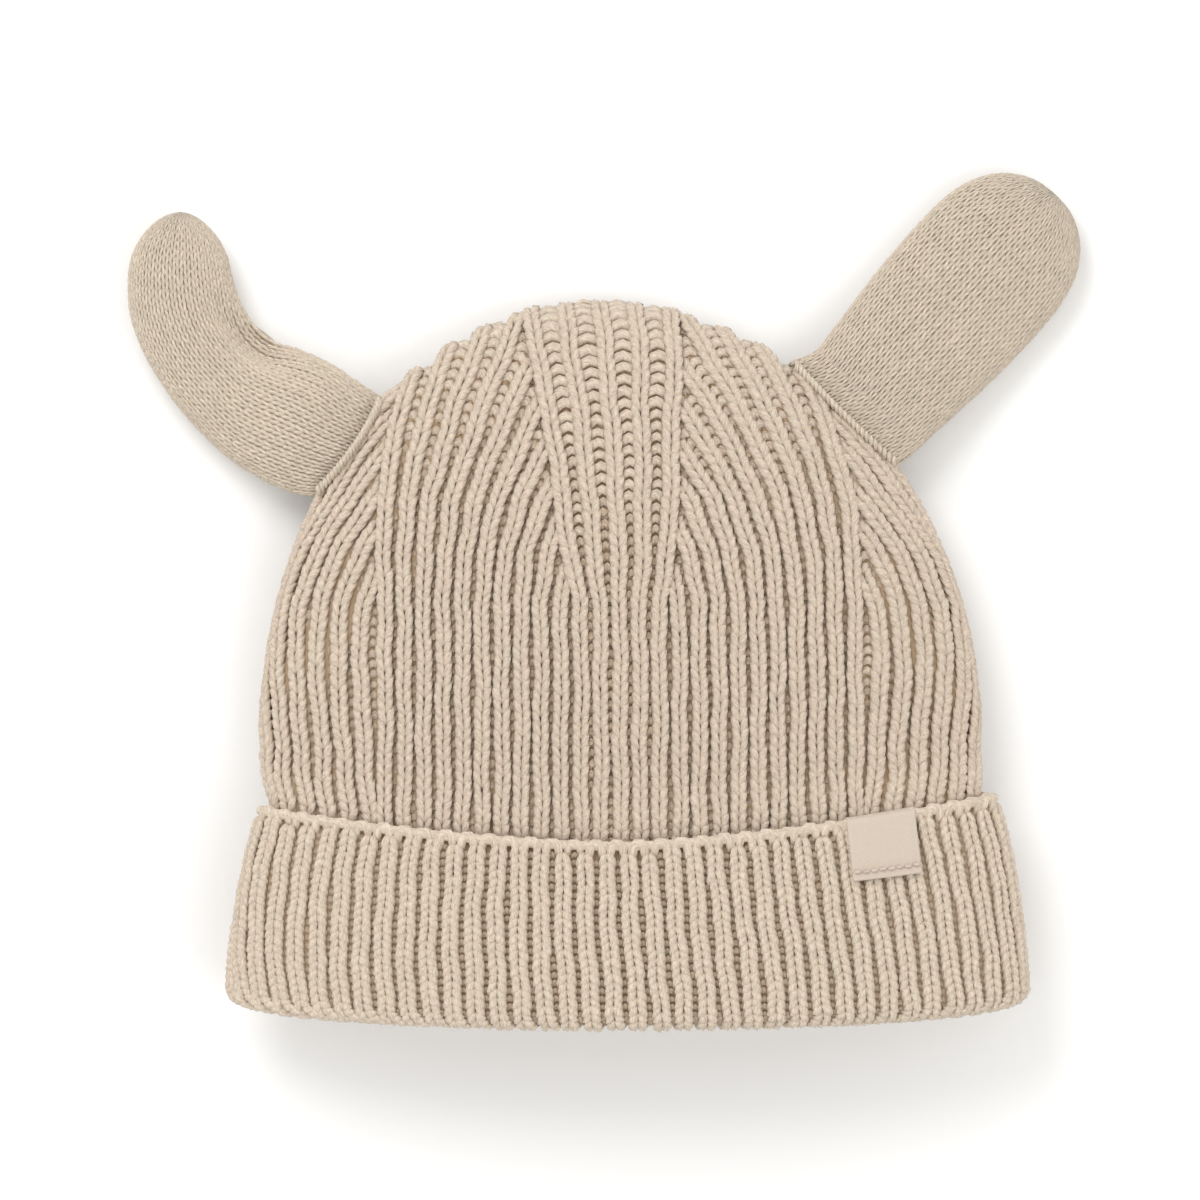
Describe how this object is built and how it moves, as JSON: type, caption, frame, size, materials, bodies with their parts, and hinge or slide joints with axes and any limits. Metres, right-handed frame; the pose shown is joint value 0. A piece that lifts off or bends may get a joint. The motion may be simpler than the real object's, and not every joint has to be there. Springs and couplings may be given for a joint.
{
  "type": "knitted baby hat with ears",
  "caption": "Rib-knit baby beanie with a turned-up cuff, a folded ribbon label and two soft ears, lying on its back with the mouth open.",
  "frame": {"origin": "on the surface that the hat lies on, under the pressed-flat middle of the hat's back", "axes": "+Z away from the surface, from the hat's back to its front; +Y from the mouth to the top of the crown; +X across the hat, to the right as seen from its front"},
  "size_m": [0.2502, 0.2226, 0.0443],
  "materials": {
    "rib_knit": "rib-knitted oatmeal yarn",
    "cuff_knit": "rib-knitted oatmeal yarn",
    "ear_knit_left": "fine plain-knitted oatmeal yarn",
    "ear_knit_right": "fine plain-knitted oatmeal yarn",
    "ribbon": "fine woven cream ribbon"
  },
  "bodies": {
    "root": {"crown": "rib_knit", "cuff": "cuff_knit", "ear_left": "ear_knit_left", "ear_right": "ear_knit_right", "label": "ribbon"}
  },
  "joints": []
}
